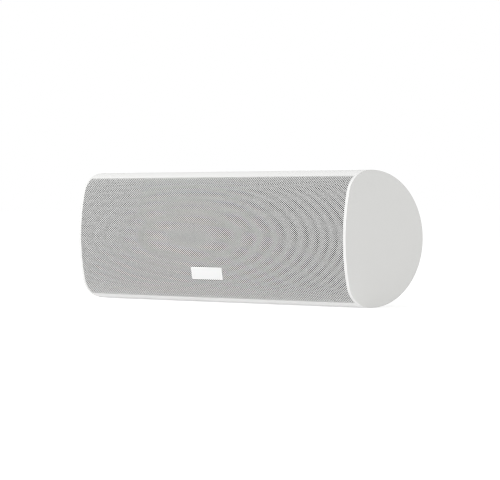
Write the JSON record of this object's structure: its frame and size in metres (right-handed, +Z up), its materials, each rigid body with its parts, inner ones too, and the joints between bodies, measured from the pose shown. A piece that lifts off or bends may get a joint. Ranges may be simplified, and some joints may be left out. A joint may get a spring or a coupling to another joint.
{
  "type": "center channel speaker",
  "caption": "White D-section center channel loudspeaker with a bent perforated metal grille, flat end plates and a recessed rear terminal cup.",
  "frame": {"origin": "middle of the bounding box in plan, on the surface that the feet stand on", "axes": "+X along the length to the viewer's right, -Y out of the grille, +Z up"},
  "size_m": [0.454, 0.1098, 0.1404],
  "materials": {
    "white_coat": "satin",
    "badge_white": "satin",
    "black_cloth": "matte",
    "black_board": "matte",
    "black_casting": "satin",
    "grey_foam": "matte",
    "black_rubber": "matte",
    "cone_alloy": "satin",
    "copper_wire": "satin",
    "spider_cloth": "matte",
    "zinc_steel": "satin",
    "ferrite": "matte",
    "foil": "satin",
    "black_plastic": "satin",
    "gilt_brass": "polished",
    "red_plastic": "gloss",
    "knob_black": "gloss",
    "board_green": "satin",
    "film_yellow": "gloss",
    "ceramic_white": "matte",
    "lead_jacket": "satin"
  },
  "bodies": {
    "cabinet": {"badge_plate": "badge_white", "baffle_screws": "zinc_steel", "cabinet_shell": "white_coat", "crossover_board": "board_green", "crossover_capacitors": "film_yellow", "crossover_coils": "copper_wire", "crossover_resistor": "ceramic_white", "cup_screws": "zinc_steel", "front_baffle": "black_board", "grille": "white_coat", "grille_cloth": "black_cloth", "left_basket": "black_casting", "left_end_plate": "white_coat", "left_foot": "black_rubber", "left_gasket": "grey_foam", "left_magnet": "ferrite", "left_spider": "spider_cloth", "left_surround": "black_rubber", "left_top_plate": "zinc_steel", "left_woofer_lead": "lead_jacket", "left_yoke": "zinc_steel", "negative_post": "gilt_brass", "positive_post": "gilt_brass", "post_nuts": "zinc_steel", "right_basket": "black_casting", "right_end_plate": "white_coat", "right_foot": "black_rubber", "right_gasket": "grey_foam", "right_magnet": "ferrite", "right_spider": "spider_cloth", "right_surround": "black_rubber", "right_top_plate": "zinc_steel", "right_woofer_lead": "lead_jacket", "right_yoke": "zinc_steel", "terminal_cup": "black_plastic", "tweeter_chamber": "black_plastic", "tweeter_face": "black_casting", "tweeter_lead": "lead_jacket", "tweeter_magnets": "ferrite", "tweeter_pole_plate": "zinc_steel", "tweeter_ribbon": "foil", "tweeter_screws": "zinc_steel", "tweeter_yoke": "zinc_steel", "wall_inserts": "zinc_steel", "woofer_screws": "zinc_steel"},
    "left_cone": {"left_cone": "cone_alloy", "left_dust_cap": "cone_alloy", "left_voice_coil": "copper_wire"},
    "right_cone": {"right_cone": "cone_alloy", "right_dust_cap": "cone_alloy", "right_voice_coil": "copper_wire"},
    "positive_ring": {"positive_clamp_ring": "gilt_brass"},
    "negative_ring": {"negative_clamp_ring": "gilt_brass"},
    "positive_knob": {"positive_knob": "red_plastic"},
    "negative_knob": {"negative_knob": "knob_black"}
  },
  "joints": [
    {"name": "left_cone_stroke", "type": "slide", "parent": "cabinet", "child": "left_cone", "axis": [0, -1, 0], "range_m": [-0.004, 0.004], "stiffness_N_per_m": 1500, "deforming": ["left_surround", "left_spider"]},
    {"name": "right_cone_stroke", "type": "slide", "parent": "cabinet", "child": "right_cone", "axis": [0, -1, 0], "range_m": [-0.004, 0.004], "stiffness_N_per_m": 1500, "deforming": ["right_surround", "right_spider"]},
    {"name": "positive_ring_slide", "type": "slide", "parent": "cabinet", "child": "positive_ring", "axis": [0, 1, 0], "range_m": [0, 0.005]},
    {"name": "positive_knob_turn", "type": "hinge", "parent": "positive_ring", "child": "positive_knob", "pos_m": [0.015, 0.04, 0.0704], "axis": [0, 1, 0], "range_deg": [0, 1800]},
    {"name": "negative_ring_slide", "type": "slide", "parent": "cabinet", "child": "negative_ring", "axis": [0, 1, 0], "range_m": [0, 0.005]},
    {"name": "negative_knob_turn", "type": "hinge", "parent": "negative_ring", "child": "negative_knob", "pos_m": [-0.015, 0.04, 0.0704], "axis": [0, 1, 0], "range_deg": [0, 1800]}
  ],
  "couplings": [
    {"joint": "positive_knob_turn", "follows": "positive_ring_slide", "rad_per_m": 6283.2},
    {"joint": "negative_knob_turn", "follows": "negative_ring_slide", "rad_per_m": 6283.2}
  ]
}
